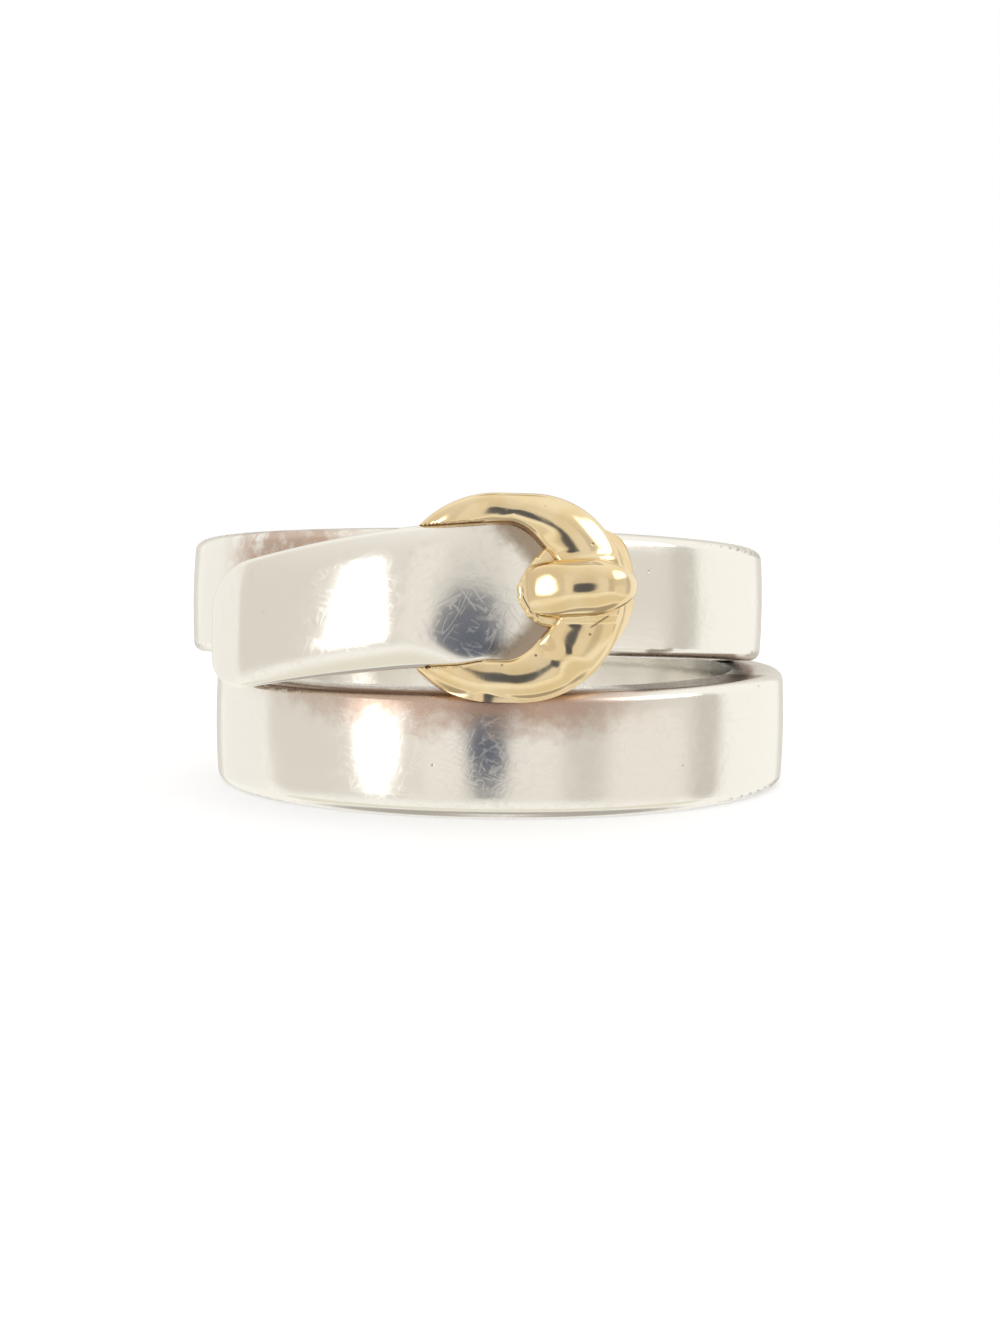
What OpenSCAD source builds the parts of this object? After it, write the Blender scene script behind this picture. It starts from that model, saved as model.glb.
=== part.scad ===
// Belt style double ring: two silver bands, soldered behind and apart in front,
// with a strap end that passes through a gold buckle loop with its tongue.
// Millimetres. The finger axis is +Z, the bottom rim lies on z = 0 and -Y is the front.

/* [Bands] */
// Outer diameter of each band
band_diameter = 20; // [19:0.25:22]
// Inside diameter, the ring size
bore_diameter = 17.2; // [16:0.1:17.4]
// Width of the lower band
lower_width = 3.92; // [3.6:0.02:4.2]
// Width of the upper band
upper_width = 3.82; // [3.6:0.02:4]
// Height of the open slot between the bands, at the front
slot_height = 1.12; // [0.9:0.02:1.3]
// How far the upper band tips back, which opens the slot at the front
upper_tip = 4.8; // [4:0.1:5.4]
// How far the upper band drops to the right
upper_roll = 0.5; // [0:0.1:1]
// Sideways step between the two bands
side_step = 0.82; // [0.4:0.02:1]
// How far the domed face falls back at the bands' rounded edges
face_dome = 0.05; // [0.03:0.01:0.1]
// Rounding of the bands' outer edges
band_edge = 0.36; // [0.25:0.01:0.5]

/* [Strap end] */
// Radius of the strap end's outer face, seen from above
strap_radius = 13.3; // [12.8:0.1:14]
// Thickness of the strap end where it lies on the band
strap_thickness = 0.8; // [0.7:0.05:0.9]
// Width of the strap end where it enters the buckle
strap_width = 4.28; // [4.2:0.02:4.34]
// Width of the strap end near its tip
tip_width = 3.92; // [3.8:0.02:4]
// Length from the buckle's middle to the tip, measured straight across
strap_reach = 9; // [8.4:0.1:9.4]
// How far the strap end slopes down towards its tip
strap_slope = 9.8; // [8.5:0.1:10.5]
// Rounding of the tip's corners, seen from the front
tip_corner = 1.2; // [0.8:0.1:1.5]
// Rounding of the strap end's long edges
strap_edge = 0.3; // [0.2:0.02:0.36]

/* [Buckle] */
// Where the buckle sits, in degrees to the right of the front
buckle_turn = 5.1; // [3:0.1:7]
// Height of the buckle loop
loop_height = 6.16; // [6.1:0.02:6.4]
// Width of the buckle loop
loop_width = 6.95; // [6.7:0.05:7.1]
// Width of the bar at the loop's top and bottom
loop_bar = 1.15; // [1.1:0.01:1.2]
// Radius of the loop's squarer upper right corner
loop_corner = 2.3; // [2.2:0.05:2.4]
// Width of the bar on the loop's right side
loop_side_bar = 1.5; // [1.4:0.05:1.6]
// Height of the loop over the band
loop_rise = 1.4; // [1.3:0.05:1.5]
// Rounding of the loop's edges
loop_edge = 0.5; // [0.4:0.01:0.52]
// Diameter of the tongue
tongue_diameter = 1.42; // [1.3:0.02:1.5]
// Straight length of the tongue between its round ends
tongue_length = 1.86; // [1.7:0.02:2]
// Slope of the tongue, up to the right
tongue_slope = 4; // [0:0.5:6]

/* [Hidden] */
$fn = 96;

silver = [0.83, 0.82, 0.79];
gold = [0.87, 0.76, 0.52];

gap = 0.05;              // clearance between two pieces that lie on each other
band_r = band_diameter / 2;
bore_r = bore_diameter / 2;
blank_r = bore_r - 1;    // the bands' own inner radius before the common bore is cut
half_step = side_step / 2;
far = 14;                // beyond everything
over = 1;                // how far a cutting shape runs past what it cuts
dome_steps = 720;        // a shallow dome is part of a large circle

// the upper band's bottom plane, where it crosses its own axis
upper_z = lower_width + slot_height - band_r * sin(upper_tip);

// the buckle's middle height on the upper band
buckle_z = 1.67;

// the strap end's outer face is an arc about a point off the band's axis
strap_from = 32.1;       // here, left of the buckle, the strap end has its stated thickness
strap_normal = 32.7;     // the face's direction there
strap_r_here = band_r + strap_thickness;
strap_axis_x = strap_radius * sin(strap_normal) - strap_r_here * sin(strap_from);
strap_axis_y = strap_radius * cos(strap_normal) - strap_r_here * cos(strap_from);
strap_dome = 0.05;
strap_inside = 9;        // the plate's inner radius, before it is cut to the band's curve
inside = 2;              // what stands up in front starts this far from the axis

// the loop's hidden left bar runs in a channel under the strap end
channel_r = band_r + 0.55;

loop_r = loop_height / 2;
loop_shift = loop_width / 2 - loop_r;
hole_r = loop_r - loop_bar;
hole_right = loop_width / 2 - loop_side_bar - hole_r;
hole_left = -loop_shift;
hole_up = 0.26;            // the bar is thicker at the bottom than at the top
loop_base = band_r - 0.8;  // the loop's blank starts here and is cut to the band's curve
loop_top = band_r + loop_rise;
bar_split = -0.7;          // left of this the strap end passes over the loop

// the strap end's middle line leaves the buckle here, and slopes down to the left
strap_pivot = -0.9;
strap_up = 0.35;
taper_from = -2;           // left of this it narrows towards its tip

// the tongue's left end lies on the strap end at this depth
tongue_seat = 11.24;
tongue_x = 2.12;
tongue_up = 0.37;
tongue_in = 0.2;           // how deep the tongue's middle line lies over the loop's top

// a rounded band section, from radius r_in to r_out and w wide, domed outside
module domed_section(r_in, r_out, w, dome, edge) {
  corner_x = r_out - dome - edge;
  drop = w / 2 - edge;
  // the dome's arc runs tangent into both corner arcs
  dome_r = (pow(dome + edge, 2) + drop * drop - edge * edge) / (2 * dome);
  meet = drop * dome_r / (dome_r - edge);
  translate([r_in, 0]) square([corner_x - r_in, w]);
  for (z = [edge, w - edge])
    translate([corner_x, z]) circle(edge);
  intersection() {
    translate([r_out - dome_r, w / 2]) circle(dome_r, $fn = dome_steps);
    translate([r_in, w / 2 - meet]) square([r_out, 2 * meet]);
  }
}

// moves its children to the upper band's own axis and bottom plane
module on_upper_band() {
  translate([-half_step, 0, upper_z]) rotate([-upper_tip, upper_roll, 0]) children();
}

// turns its children so that the buckle's middle faces the front
module at_buckle() {
  on_upper_band() rotate([0, 0, buckle_turn]) translate([0, 0, buckle_z]) children();
}

// stands a flat outline up in front of the finger axis, from depth r_in to r_out
module stand_up(r_in, r_out) {
  translate([0, -r_in, 0]) rotate([90, 0, 0]) linear_extrude(r_out - r_in) children();
}

module lower_band() {
  translate([half_step, 0, 0])
    rotate_extrude() domed_section(blank_r, band_r, lower_width, face_dome, band_edge);
}

module upper_band() {
  on_upper_band()
    rotate_extrude() domed_section(blank_r, band_r, upper_width, face_dome, band_edge);
}

// a tall cylinder on the upper band's axis
module round_upper(r) {
  on_upper_band() translate([0, 0, -2 * over]) cylinder(r = r, h = far);
}

// what lies on the bands keeps clear of both of them
module band_room() {
  translate([half_step, 0, -over]) cylinder(r = band_r + gap, h = lower_width + over);
  round_upper(band_r + gap);
}

// the two bands are one soldered solid with one bore
module double_band() {
  color(silver) difference() {
    union() {
      lower_band();
      upper_band();
    }
    translate([0, 0, -over]) cylinder(r = bore_r, h = far);
  }
}

// moves its children to the strap end's sloping middle line
module at_strap() {
  at_buckle() translate([strap_pivot, 0, strap_up]) rotate([0, -strap_slope, 0])
    translate([-strap_pivot, 0, 0]) children();
}

// the strap end seen from the front, with soft corners at its tip
module strap_outline(grow) {
  half = strap_width / 2 + grow;
  tip_half = tip_width / 2 + grow;
  tip = strap_reach + grow;
  corner = tip_corner + grow;
  end = hole_right + hole_r;
  polygon([[end, -half], [end, half], [taper_from, half], [corner - tip, tip_half],
    [corner - tip, -tip_half], [taper_from, -half]]);
  translate([-tip, corner - tip_half]) square([2 * corner, 2 * (tip_half - corner)]);
  for (side = [-1, 1])
    translate([corner - tip, side * (tip_half - corner)]) circle(corner);
}

// the strap end's bent and domed plate, before its outline is cut
module strap_plate() {
  at_strap() translate([strap_axis_x, strap_axis_y, -strap_width / 2])
    rotate_extrude() domed_section(strap_inside, strap_radius, strap_width, strap_dome, strap_edge);
}

// the corners of the loop's outer outline: middle, radius and first angle
LOOP_CORNERS = [
  [loop_width / 2 - loop_corner, loop_r - loop_corner, loop_corner, 0],
  [-loop_shift, 0, loop_r, 90],
  [-loop_shift, 0, loop_r, 180],
  [loop_shift, 0, loop_r, 270]
];

// the corners of its hole
HOLE_CORNERS = [
  [hole_right, hole_up, hole_r, 0],
  [hole_left, hole_up, hole_r, 90],
  [hole_left, hole_up, hole_r, 180],
  [hole_right, hole_up, hole_r, 270]
];

// a flat outline through rounded corners
module outline(corners, grow) {
  for (c = corners) translate([c[0], c[1]]) circle(c[2] + grow);
  polygon([for (c = corners, turn = [0, 90])
    [c[0] + (c[2] + grow) * cos(c[3] + turn), c[1] + (c[2] + grow) * sin(c[3] + turn)]]);
}

// the loop's bar with room round it, left or right of the split
module bar_room(side) {
  at_buckle() stand_up(loop_base - over, far) intersection() {
    difference() {
      outline(LOOP_CORNERS, gap);
      outline(HOLE_CORNERS, -gap);
    }
    translate([side < 0 ? bar_split - far : bar_split - gap, -far]) square([far, 2 * far]);
  }
}

module strap_end() {
  color(silver) difference() {
    intersection() {
      strap_plate();
      at_strap() stand_up(inside, far) strap_outline(0);
    }
    band_room();
    bar_room(1);
    // the loop's left bar runs in a channel under it
    intersection() {
      bar_room(-1);
      round_upper(channel_r + gap);
    }
  }
}

// half of the loop's pad as a section, with a rounded outer edge
module pad_section(r) {
  square([r - loop_edge, loop_top - loop_base]);
  square([r, loop_top - loop_base - loop_edge]);
  translate([r - loop_edge, loop_top - loop_base - loop_edge]) circle(loop_edge);
}

// half of the hole as a section, which leaves a rounded inner edge
module hole_section(r) {
  square([r, far]);
  difference() {
    translate([0, loop_top - loop_base - loop_edge]) square([r + loop_edge, loop_edge + over]);
    translate([r + loop_edge, loop_top - loop_base - loop_edge]) circle(loop_edge);
  }
}

// sweeps half a section round the corners and along the straights between them
module sweep_round(corners, hole) {
  translate([0, -loop_base, 0]) rotate([90, 0, 0])
    for (i = [0 : 3]) {
      c = corners[i];
      next = corners[(i + 1) % 4];
      turn = c[3] + 90;
      straight = abs((next[0] - c[0]) * sin(turn)) + abs((next[1] - c[1]) * cos(turn));
      translate([c[0], c[1], 0]) {
        rotate([0, 0, c[3]]) rotate_extrude(angle = 90)
          if (hole) hole_section(c[2]); else pad_section(c[2]);
        if (straight > gap)
          rotate([0, 0, turn]) rotate([90, 0, 0]) mirror([0, 0, 1]) linear_extrude(straight)
            if (hole) hole_section(c[2]); else pad_section(c[2]);
      }
    }
}

module buckle_loop() {
  color(gold) difference() {
    at_buckle() sweep_round(LOOP_CORNERS, false);
    at_buckle() sweep_round(HOLE_CORNERS, true);
    band_room();
    // the strap end passes over the left bar
    difference() {
      intersection() {
        at_strap() stand_up(inside, far) strap_outline(gap);
        at_buckle() stand_up(inside, far) translate([bar_split - far, -far]) square([far, 2 * far]);
      }
      round_upper(channel_r);
    }
  }
}

// half the section of a round bar with domed ends
module round_bar_section(r, length) {
  translate([0, -length / 2]) square([r, length]);
  intersection() {
    for (side = [-1, 1]) translate([0, side * length / 2]) circle(r);
    translate([0, -length]) square([r, 2 * length]);
  }
}

// room under the tongue, right of x_from and up to the given depth
module under_tongue(x_from, depth) {
  at_buckle() translate([x_from, -depth - gap, -tongue_diameter])
    cube([2 * far, far, 2 * tongue_diameter]);
}

module buckle_tongue() {
  r = tongue_diameter / 2;
  color(gold) difference() {
    at_buckle() translate([tongue_x, -loop_top - tongue_in, tongue_up])
      rotate([0, 90 - tongue_slope, 0]) rotate([0, 0, -90])
        rotate_extrude() round_bar_section(r, tongue_length);
    // its flat underside steps from the strap end up to the loop's right bar
    under_tongue(-far, tongue_seat);
    under_tongue(hole_right + hole_r - gap, loop_top);
  }
}

double_band();
strap_end();
buckle_loop();
buckle_tongue();
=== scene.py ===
import bmesh
import bpy
import math
from mathutils import Matrix, Vector


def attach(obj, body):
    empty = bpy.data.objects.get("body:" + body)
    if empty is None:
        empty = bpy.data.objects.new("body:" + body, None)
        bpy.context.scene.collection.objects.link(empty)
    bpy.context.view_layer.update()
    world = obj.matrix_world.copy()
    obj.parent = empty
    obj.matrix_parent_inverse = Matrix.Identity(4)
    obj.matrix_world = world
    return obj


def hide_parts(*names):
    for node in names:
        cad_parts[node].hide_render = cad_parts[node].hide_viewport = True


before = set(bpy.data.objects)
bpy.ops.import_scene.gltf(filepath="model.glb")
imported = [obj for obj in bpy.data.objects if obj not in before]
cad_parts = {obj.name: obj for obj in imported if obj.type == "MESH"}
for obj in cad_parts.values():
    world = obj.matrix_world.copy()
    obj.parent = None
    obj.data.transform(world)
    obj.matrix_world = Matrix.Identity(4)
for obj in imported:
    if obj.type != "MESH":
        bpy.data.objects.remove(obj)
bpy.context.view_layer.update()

mm = 0.001
print("double ring: frame loaded,", len(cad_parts), "nodes")

# camera: what the photo shows, worked out from the rims' ellipses
camera = {
    "place": (0.40 * mm, -64 * mm, 9.288 * mm),
    "lookDown": 4.869,     # degrees
    "roll": 0.475,
    "lens": 48.68,         # millimetres
    "sensor": 36,          # its long side, which stands upright
    "sees": (1 * mm, 5),   # nearest and farthest
}


def turned(axis, degrees):
    return Matrix.Rotation(math.radians(degrees), 4, axis)


def makeCamera(cfg):
    data = bpy.data.cameras.new("photoCamera")
    data.lens = cfg["lens"]
    data.sensor_width = cfg["sensor"]
    data.clip_start, data.clip_end = cfg["sees"]
    cam = bpy.data.objects.new("photoCamera", data)
    tilt = turned("X", 90 - cfg["lookDown"])
    cam.matrix_world = Matrix.Translation(cfg["place"]) @ tilt @ turned("Z", cfg["roll"])
    bpy.context.scene.collection.objects.link(cam)
    bpy.context.scene.camera = cam


makeCamera(camera)
print("camera set")


# shader maths: one wrapped socket, and one method that adds any other node
class Value:
    def __init__(self, graph, socket):
        self.graph = graph
        self.socket = socket

    def math(self, operation, first, second):
        return self.graph.add("ShaderNodeMath", {"operation": operation}, {0: first, 1: second})

    def __add__(self, other):
        return self.math("ADD", self, other)

    def __radd__(self, other):
        return self.math("ADD", other, self)

    def __sub__(self, other):
        return self.math("SUBTRACT", self, other)

    def __rsub__(self, other):
        return self.math("SUBTRACT", other, self)

    def __mul__(self, other):
        return self.math("MULTIPLY", self, other)

    def __rmul__(self, other):
        return self.math("MULTIPLY", other, self)


class Graph:
    def __init__(self, tree):
        self.tree = tree
        tree.nodes.clear()

    def add(self, kind, settings=None, inputs=None, output=0):
        node = self.tree.nodes.new(kind)
        for name, value in (settings or {}).items():
            setattr(node, name, value)
        for name, value in (inputs or {}).items():
            if isinstance(value, Value):
                self.tree.links.new(value.socket, node.inputs[name])
            else:
                node.inputs[name].default_value = value
        return Value(self, node.outputs[output]) if len(node.outputs) else None

    def parts(self, vector):
        node = self.add("ShaderNodeSeparateXYZ", None, {0: vector}).socket.node
        return [Value(self, socket) for socket in node.outputs]


def newMaterial(name):
    material = bpy.data.materials.new(name)
    material.use_nodes = True
    return material, Graph(material.node_tree)


def mixColours(graph, factor, first, second):
    return graph.add("ShaderNodeMix", {"data_type": "RGBA"}, {0: factor, 6: first, 7: second}, 2)


# studio: a white tent round the ring, and in it the panels that the metal mirrors. Distances are in
# metres. Azimuth 0 is the front, positive to the right, and elevation 0 is level, all in degrees.
studio = {
    "tentRadius": 0.60,
    "tentColour": (1.0, 0.985, 0.93, 1),
    "tentLight": 1.0,
    "gridStep": 1.25,
    "panels": [
        {"name": "frontOpening", "azimuth": (-104, 96), "elevation": (-18, 58), "corner": 15, "soft": 3,
         "fade": 50, "distance": 0.54, "colour": (1.0, 0.955, 0.875, 1), "light": 0.75},
        {"name": "rightField", "azimuth": (41, 79), "elevation": (-20, 2), "corner": 7, "soft": 3.5,
         "distance": 0.52, "colour": (1.0, 0.95, 0.87, 1), "light": 0.88},
        {"name": "rightShade", "azimuth": (23, 42), "elevation": (-20, 22), "corner": 4, "soft": 6,
         "distance": 0.51, "colour": (1.0, 0.955, 0.87, 1), "light": 0.66},
        {"name": "leftReflector", "azimuth": (-31, -11), "elevation": (-16, 24), "corner": 4, "soft": 3,
         "distance": 0.50, "colour": (1.0, 0.96, 0.89, 1), "light": 0.88},
        {"name": "rightReflector", "azimuth": (2, 25), "elevation": (-16, 24), "corner": 4, "soft": 3,
         "distance": 0.50, "colour": (1.0, 0.96, 0.89, 1), "light": 0.86},
        {"name": "softLight", "azimuth": (-60, -36), "elevation": (-14, 18), "corner": 11, "soft": 5,
         "taper": 0.40, "distance": 0.49, "colour": (1.0, 0.99, 0.97, 1), "light": 3.2},
        {"name": "highLight", "azimuth": (40, 92), "elevation": (15, 46), "corner": 12, "soft": 7,
         "distance": 0.49, "colour": (1.0, 0.99, 0.98, 1), "light": 2.2},
        {"name": "tableEdge", "azimuth": (-180, 180), "elevation": (-88, -46), "corner": 0, "soft": 12,
         "distance": 0.48, "colour": (1.0, 0.94, 0.86, 1), "light": 0.45},
        {"name": "rightHem", "azimuth": (79, 97), "elevation": (-20, 34), "corner": 6, "soft": 4,
         "distance": 0.515, "colour": (1.0, 0.955, 0.86, 1), "light": 0.63},
        {"name": "leftSide", "azimuth": (-148, -101), "elevation": (-20, 62), "corner": 10, "soft": 8,
         "distance": 0.55, "colour": (1.0, 0.98, 0.93, 1), "light": 0.94},
        {"name": "lowField", "azimuth": (-104, 96), "elevation": (-46, -22), "corner": 8, "soft": 6,
         "distance": 0.545, "colour": (1.0, 0.955, 0.82, 1), "light": 0.82},
        {"name": "ceiling", "azimuth": (-180, 180), "elevation": (66, 90), "corner": 0, "soft": 9,
         "distance": 0.53, "colour": (1.0, 0.96, 0.89, 1), "light": 0.62},
        {"name": "backField", "azimuth": (147, 213), "elevation": (-20, 60), "corner": 14, "soft": 5,
         "fade": 34, "distance": 0.54, "colour": (1.0, 0.955, 0.875, 1), "light": 0.74},
        {"name": "backShade", "azimuth": (171, 189), "elevation": (-16, 30), "corner": 7, "soft": 4,
         "distance": 0.52, "colour": (0.86, 0.9, 1.0, 1), "light": 0.30},
        {"name": "lens", "azimuth": (-13.2, 4.0), "elevation": (-14.5, 7.5), "corner": 7, "soft": 2.4,
         "distance": 0.46, "colour": (0.67, 0.75, 1.0, 1), "light": 0.16},
    ],
}


def towards(azimuth, elevation, distance):
    a, e = math.radians(azimuth), math.radians(elevation)
    return Vector((math.sin(a) * math.cos(e), -math.cos(a) * math.cos(e), math.sin(e))) * distance


def smooth(value, low, high):
    t = min(max((value - low) / (high - low), 0), 1)
    return t * t * (3 - 2 * t)


def mix(first, second, share):
    return first + (second - first) * share


def glow(name, colour, light, edges=False):
    material, graph = newMaterial(name)
    shine = graph.add("ShaderNodeEmission", None, {"Color": colour, "Strength": light})
    if edges:
        cover = graph.add("ShaderNodeAttribute", {"attribute_name": "cover"}, None, "Fac")
        clear = graph.add("ShaderNodeBsdfTransparent")
        shine = graph.add("ShaderNodeMixShader", None, {0: cover, 1: clear, 2: shine})
    graph.add("ShaderNodeOutputMaterial", None, {"Surface": shine})
    return material


def meshObject(name, points, faces, material):
    mesh = bpy.data.meshes.new(name)
    mesh.from_pydata([tuple(p) for p in points], [], faces)
    mesh.materials.append(material)
    mesh.polygons.foreach_set("use_smooth", [True] * len(mesh.polygons))
    mesh.update()
    made = bpy.data.objects.new(name, mesh)
    bpy.context.scene.collection.objects.link(made)
    return made


def gridFaces(columns, rows, closedColumns=False):
    faces = []
    for i in range(columns if closedColumns else columns - 1):
        here, after = i * rows, (i + 1) % columns * rows
        faces += [(here + j, after + j, after + j + 1, here + j + 1) for j in range(rows - 1)]
    return faces


def hideFromCamera(made):
    made.visible_camera = False


def panelCover(panel, azimuth, elevation):
    # 1 inside the panel, 0 outside, soft over its border
    low, high = panel["elevation"]
    up = (elevation - low) / (high - low)
    middle = (panel["azimuth"][0] + panel["azimuth"][1]) / 2
    half = (panel["azimuth"][1] - panel["azimuth"][0]) / 2 * (1 - panel.get("taper", 0) * up)
    corner = panel["corner"]
    sides = half - abs(azimuth - middle)
    ends = min(elevation - low, high - elevation)
    inside = min(sides, ends)
    if sides < corner and ends < corner:
        inside = corner - math.hypot(corner - sides, corner - ends)
    cover = smooth(inside, 0, panel["soft"])
    if "fade" in panel:
        cover *= smooth(high - elevation, 0, panel["fade"])
    return cover


def makePanel(panel, spacing):
    az, el = panel["azimuth"], panel["elevation"]
    columns = round((az[1] - az[0]) / spacing) + 1
    rows = round((el[1] - el[0]) / spacing) + 1
    angles = [(az[0] + (az[1] - az[0]) * i / (columns - 1), el[0] + (el[1] - el[0]) * j / (rows - 1))
              for i in range(columns) for j in range(rows)]
    points = [towards(a, e, panel["distance"]) for a, e in angles]
    shine = glow(panel["name"], panel["colour"], panel["light"], True)
    made = meshObject(panel["name"], points, gridFaces(columns, rows), shine)
    cover = made.data.attributes.new("cover", "FLOAT", "POINT")
    cover.data.foreach_set("value", [panelCover(panel, a, e) for a, e in angles])
    made.visible_diffuse = False      # only the metal sees it, so the floor stays even
    hideFromCamera(made)


def makeStudio(cfg):
    columns, rows = 48, 25
    points = [towards(360 * i / columns, -90 + 180 * j / (rows - 1), cfg["tentRadius"])
              for i in range(columns) for j in range(rows)]
    cloth = glow("tentCloth", cfg["tentColour"], cfg["tentLight"])
    hideFromCamera(meshObject("tent", points, gridFaces(columns, rows, True), cloth))
    for panel in cfg["panels"]:
        makePanel(panel, cfg["gridStep"])


# table top: round and pale, it ends inside the tent, with white beyond it
tableTop = {
    "radius": 0.56, "sides": 96,
    "colour": (0.80, 0.80, 0.82, 1), "roughness": 0.9,
    "glow": (0.94, 0.96, 1.0, 1), "light": 0.36,
    "beyond": (1, 1, 1, 1),
}


def makeFloor(cfg):
    material, graph = newMaterial("paleFloor")
    cloth = graph.add("ShaderNodeBsdfPrincipled", None, {
        "Base Color": cfg["colour"], "Roughness": cfg["roughness"],
        "Emission Color": cfg["glow"], "Emission Strength": cfg["light"]})
    graph.add("ShaderNodeOutputMaterial", None, {"Surface": cloth})
    radius, sides = cfg["radius"], cfg["sides"]
    angles = [2 * math.pi * k / sides for k in range(sides)]
    rim = [(radius * math.cos(angle), radius * math.sin(angle), 0) for angle in angles]
    floor = meshObject("floor", rim, [tuple(range(sides))], material)
    floor.visible_glossy = False     # the metal sees the tent below its rim, as on a glass shelf
    world = bpy.data.worlds.new("studioWhite")
    bpy.context.scene.world = world
    world.use_nodes = True
    graph = Graph(world.node_tree)
    graph.add("ShaderNodeOutputWorld", None, {"Surface": graph.add(
        "ShaderNodeBackground", None, {"Color": cfg["beyond"], "Strength": 1.0})})


makeStudio(studio)
makeFloor(tableTop)
bpy.context.scene.view_settings.view_transform = "Standard"
print("studio built")


# the frame's own places, in millimetres: the upper band tips back and steps to the left,
# and the buckle faces a little to the right on it
bands = {
    "radius": 10.0, "lowerWidth": 3.92, "upperWidth": 3.82, "slot": 1.12,
    "tip": 4.8, "roll": 0.5, "step": 0.82,
}
buckle = {
    "turn": 5.1, "height": 1.67,
    "clear": 0.02,           # room under the pieces that lie on a band
    "seam": -0.03,           # the strap end reaches this far under the loop's inner edge
}

upperZ = bands["lowerWidth"] + bands["slot"] - bands["radius"] * math.sin(math.radians(bands["tip"]))
upperPlace = Matrix.Translation((-bands["step"] / 2, 0, upperZ))
upperBand = upperPlace @ turned("Y", bands["roll"]) @ turned("X", -bands["tip"])
buckleFrame = upperBand @ turned("Z", buckle["turn"]) @ Matrix.Translation((0, 0, buckle["height"]))


def onBuckle(x, depth, z):
    # a point in front of the band: x to the right, depth from the finger axis, z up
    return buckleFrame @ Vector((x, -depth, z)) * mm


def ringPlace(graph):
    # millimetres round the finger axis from the front, up, and out from it
    place = graph.add("ShaderNodeTexCoord", None, None, "Object")
    flat = graph.add("ShaderNodeVectorMath", {"operation": "SCALE"}, {0: place, "Scale": 1 / mm})
    x, y, z = graph.parts(flat)
    arc = x.math("ARCTAN2", x, 0.0 - y) * bands["radius"]
    out = x.math("SQRT", x * x + y * y, 0.0)
    return arc, z, out, graph.add("ShaderNodeCombineXYZ", None, {0: arc, 1: z, 2: out}), flat


def step(graph, value, low, high):
    # a soft step from 0 to 1, or from 1 to 0 if low is above high
    up = low < high
    return graph.add("ShaderNodeMapRange", {"interpolation_type": "SMOOTHSTEP"}, {
        "Value": value, "From Min": min(low, high), "From Max": max(low, high),
        "To Min": 0.0 if up else 1.0, "To Max": 1.0 if up else 0.0})


def noise(graph, place, size, detail=2.0, rough=0.5):
    return graph.add("ShaderNodeTexNoise", None, {
        "Vector": place, "Scale": 1 / size, "Detail": detail, "Roughness": rough}, "Fac")


def between(graph, value, low, high, soft):
    return step(graph, value, low, low + soft) * step(graph, value, high, high - soft)


def alongAxis(graph, flat, place, k):
    # how far a place lies along one of a frame's own axes, from that frame's middle
    axis = place.col[k].xyz
    product = {"operation": "DOT_PRODUCT"}
    along = graph.add("ShaderNodeVectorMath", product, {0: flat, 1: tuple(axis)}, "Value")
    return along - place.translation.dot(axis)


def crevices(graph, reach):
    # 1 deep in a crevice, 0 in the open
    return 1.0 - graph.add("ShaderNodeAmbientOcclusion", {"samples": 5}, {"Distance": reach * mm}, "AO")


# scratches: what all the hairlines share
scratch = {
    "outwards": 0.3,         # how fast a line changes away from the finger axis
    "soft": 0.2,             # full depth inside this share of its thickness
    "fade": 0.06,            # how softly its patches end
}


def hairlines(graph, place, line):
    # fine scratches in one direction: the thin contours of a long stretched noise, broken up
    turn, length, apart, thick, patch, bare, depth = line
    rotated = graph.add("ShaderNodeVectorRotate", {"rotation_type": "Z_AXIS"}, {
        "Vector": place, "Angle": math.radians(turn)})
    stretched = graph.add("ShaderNodeVectorMath", {"operation": "MULTIPLY"}, {
        0: rotated, 1: (1 / length, 1 / apart, scratch["outwards"])})
    field = noise(graph, stretched, 1.0, 0.0)
    thin = step(graph, field.math("ABSOLUTE", field - 0.5, 0.0), thick, thick * scratch["soft"])
    broken = step(graph, noise(graph, place, patch, 2.0), bare, bare + scratch["fade"])
    return thin * broken * depth


def allLines(graph, place, lines):
    total = hairlines(graph, place, lines[0])
    for line in lines[1:]:
        total = total + hairlines(graph, place, line)
    return total


def pits(graph, place, size, reach, share):
    # small round pits in some of the cells
    cells = graph.add("ShaderNodeTexVoronoi", None, {"Vector": place, "Scale": 1 / size}, "Distance")
    colour = Value(graph, cells.socket.node.outputs["Color"])
    pick = step(graph, graph.parts(colour)[0], 1 - share, 1 - share + 0.05)
    return step(graph, cells, reach / size, reach / size * 0.4) * pick


# crown: the bands' faces fall towards their edges, over this margin and at this rate
crown = {
    "margin": 0.7, "rate": 0.2,
    "wear": 0.10,            # added roughness at the very edge
    "wearFrom": 0.6,         # as a share of the margin, as the next two
    "grainOut": 0.75, "grainIn": 0.3,
}

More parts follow.
